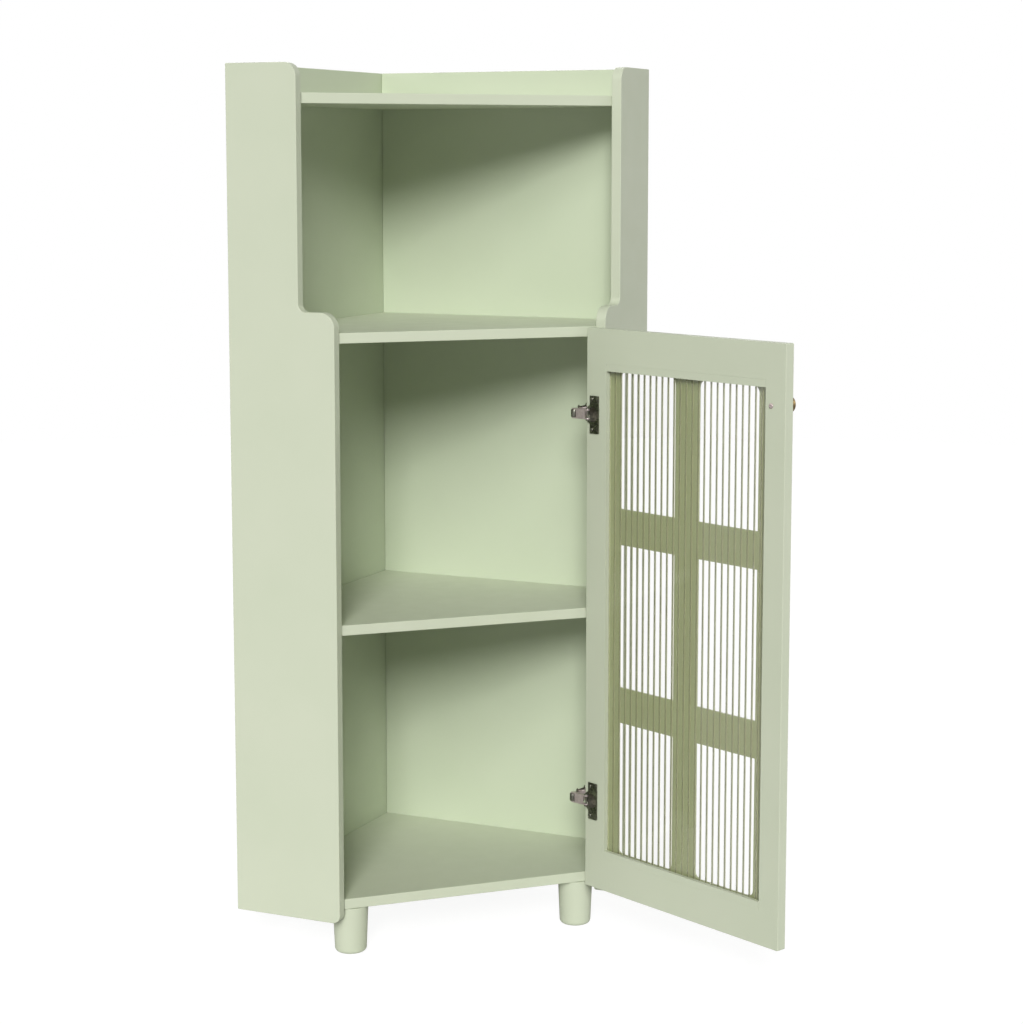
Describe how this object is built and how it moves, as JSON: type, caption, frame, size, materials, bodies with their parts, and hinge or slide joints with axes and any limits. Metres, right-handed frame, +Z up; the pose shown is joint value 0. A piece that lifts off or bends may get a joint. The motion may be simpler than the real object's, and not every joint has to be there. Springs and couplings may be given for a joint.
{
  "type": "corner cupboard",
  "caption": "Painted corner cupboard with open upper bay, two lower bays behind one glazed door on concealed hinges, on turned legs.",
  "frame": {"origin": "on the floor at the centre of the rear leg's foot; the room corner is 69.3 mm behind it", "axes": "+Z up; -Y is the front, square to the closed door; the two walls run at 45 degrees to X and Y"},
  "size_m": [0.6649, 0.8086, 1.28],
  "materials": {
    "sage_paint": "satin sage green paint on board",
    "fluted_glass": "clear fluted glass",
    "plated_steel": "plated",
    "dark_steel": "dark plated",
    "aged_brass": "aged"
  },
  "bodies": {
    "cabinet": {"left_side_panel": "sage_paint", "right_side_panel": "sage_paint", "left_back_panel": "sage_paint", "right_back_panel": "sage_paint", "top_board": "sage_paint", "middle_shelf": "sage_paint", "lower_shelf": "sage_paint", "bottom_board": "sage_paint", "front_left_leg": "sage_paint", "front_left_leg_bolt": "plated_steel", "front_right_leg": "sage_paint", "front_right_leg_bolt": "plated_steel", "rear_leg": "sage_paint", "rear_leg_bolt": "plated_steel", "upper_hinge_plate": "plated_steel", "upper_hinge_arm": "plated_steel", "lower_hinge_plate": "plated_steel", "lower_hinge_arm": "plated_steel", "upper_plate_screw_low": "plated_steel", "upper_plate_screw_high": "plated_steel", "lower_plate_screw_low": "plated_steel", "lower_plate_screw_high": "plated_steel"},
    "upper_link": {"upper_hinge_link": "plated_steel"},
    "door": {"door_panel": "sage_paint", "fluted_glass": "fluted_glass", "upper_glass_strip": "sage_paint", "lower_glass_strip": "sage_paint", "knob": "aged_brass", "knob_screw": "plated_steel", "upper_hinge_cup": "dark_steel", "lower_hinge_cup": "dark_steel", "upper_cup_screw_low": "plated_steel", "upper_cup_screw_high": "plated_steel", "lower_cup_screw_low": "plated_steel", "lower_cup_screw_high": "plated_steel"},
    "lower_link": {"lower_hinge_link": "plated_steel"}
  },
  "joints": [
    {"name": "upper_link_pivot", "type": "hinge", "parent": "cabinet", "child": "upper_link", "pos_m": [0.16391, -0.35766, 0.778], "axis": [0, 0, 1], "range_deg": [0, 49.3]},
    {"name": "door_hinge", "type": "hinge", "parent": "upper_link", "child": "door", "pos_m": [0.17566, -0.38131, 0.778], "axis": [0, 0, -1], "range_deg": [0, 159.3]},
    {"name": "lower_link_pivot", "type": "hinge", "parent": "cabinet", "child": "lower_link", "pos_m": [0.16391, -0.35766, 0.2015], "axis": [0, 0, 1], "range_deg": [0, 49.3]}
  ],
  "couplings": [
    {"joint": "upper_link_pivot", "follows": "door_hinge", "ratio": 0.30948},
    {"joint": "lower_link_pivot", "follows": "door_hinge", "ratio": 0.30948}
  ]
}
